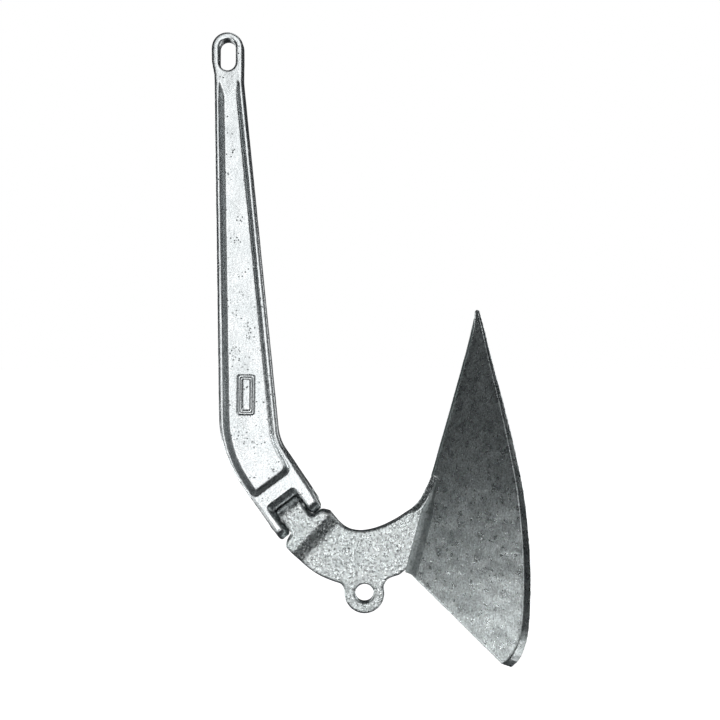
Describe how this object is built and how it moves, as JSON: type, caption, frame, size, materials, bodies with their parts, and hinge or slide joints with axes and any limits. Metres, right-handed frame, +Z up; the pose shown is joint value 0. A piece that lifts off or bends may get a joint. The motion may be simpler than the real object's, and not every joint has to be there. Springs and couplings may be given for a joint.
{
  "type": "boat anchor",
  "caption": "Galvanised hinged plough anchor: slotted-eye shank, forked hinge with pin, curved arm with tripping eye, and a pointed plough of two blades.",
  "frame": {"origin": "middle of the shackle slot at the top of the shank, in the plane of symmetry", "axes": "+Z up along the shank, +X from the shank towards the plough, y = 0 is the plane of symmetry and the port side is -Y"},
  "size_m": [0.2876, 0.1986, 0.5771],
  "materials": {
    "cast_galvanised": "rough casting, hot-dip galvanised",
    "plate_galvanised": "forged plate, hot-dip galvanised, darker",
    "pin_steel": "bright zinc",
    "weld_galvanised": "weld bead under zinc"
  },
  "bodies": {
    "shank": {"shank": "cast_galvanised", "hinge_pin": "pin_steel"},
    "fluke": {"fluke_arm": "cast_galvanised", "blade_port": "plate_galvanised", "blade_starboard": "plate_galvanised", "toe_ballast": "cast_galvanised", "ridge_weld": "weld_galvanised", "arm_weld_port": "weld_galvanised", "arm_weld_starboard": "weld_galvanised", "root_weld_port": "weld_galvanised", "root_weld_starboard": "weld_galvanised"}
  },
  "joints": [
    {"name": "fluke_hinge", "type": "hinge", "parent": "shank", "child": "fluke", "pos_m": [0.0618, 0, -0.4327], "axis": [0.8, 0, 0.6], "range_deg": [-90, 90]}
  ]
}
